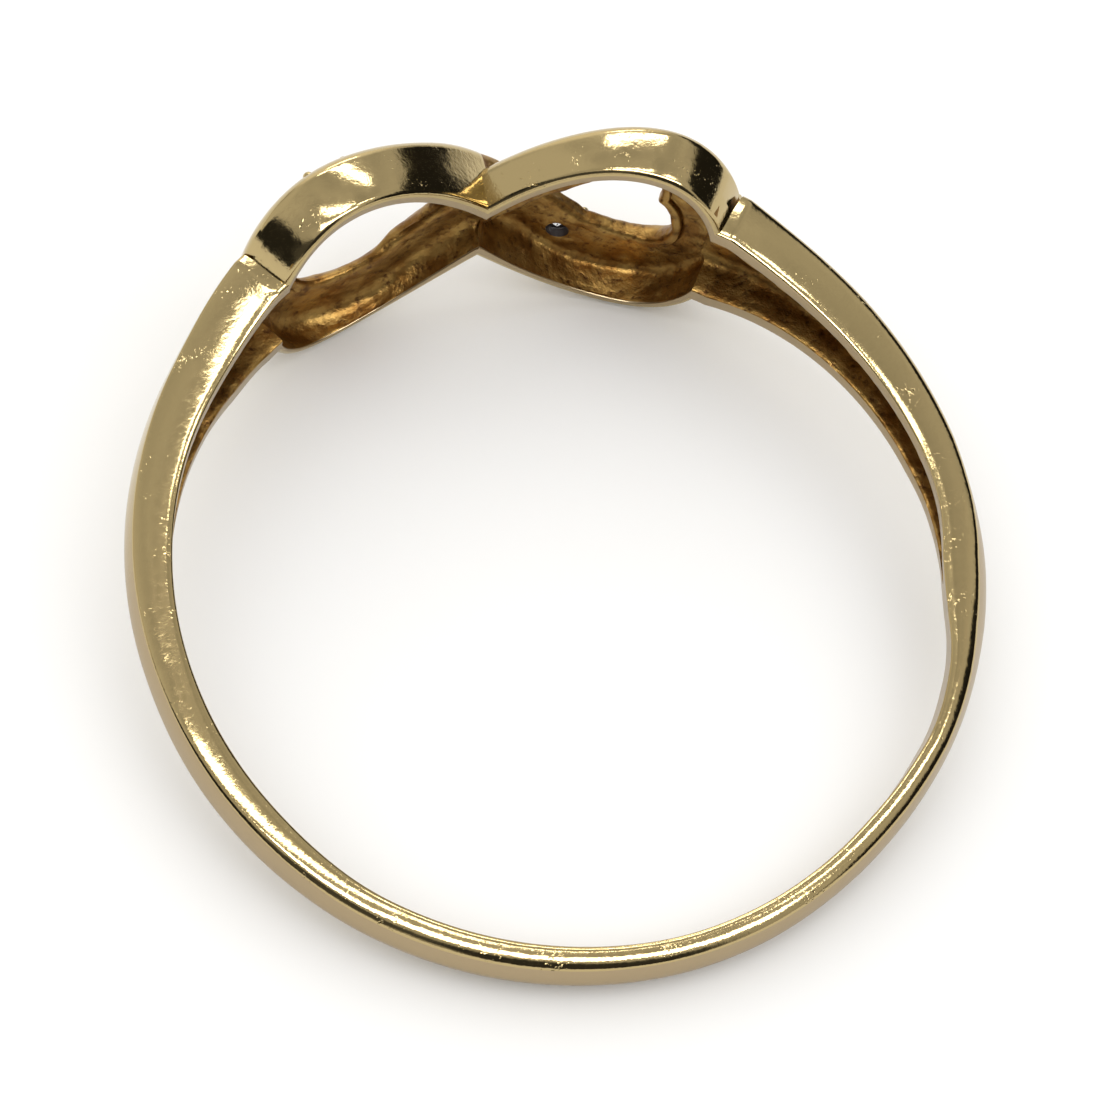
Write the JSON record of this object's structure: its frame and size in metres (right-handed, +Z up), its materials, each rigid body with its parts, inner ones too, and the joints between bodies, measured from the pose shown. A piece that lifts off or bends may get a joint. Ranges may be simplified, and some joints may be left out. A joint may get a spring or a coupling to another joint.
{
  "type": "finger ring",
  "caption": "Hollow-backed cast finger ring with an endless-loop head, a tapering shank and small round accent stones set in the crossing strand.",
  "frame": {"origin": "centre of the bounding box's base, on the surface the ring lies on", "axes": "+Z up, close to the finger axis; +Y from the back of the shank to the middle of the head; +X to the right when the ring is seen from above with its head at the top"},
  "size_m": [0.0192, 0.0196, 0.0058],
  "materials": {
    "gold": "polished",
    "stone": "polished, cut"
  },
  "bodies": {
    "root": {"ring_body": "gold", "accent_stone_near": "stone", "accent_stone_far": "stone"}
  },
  "joints": []
}
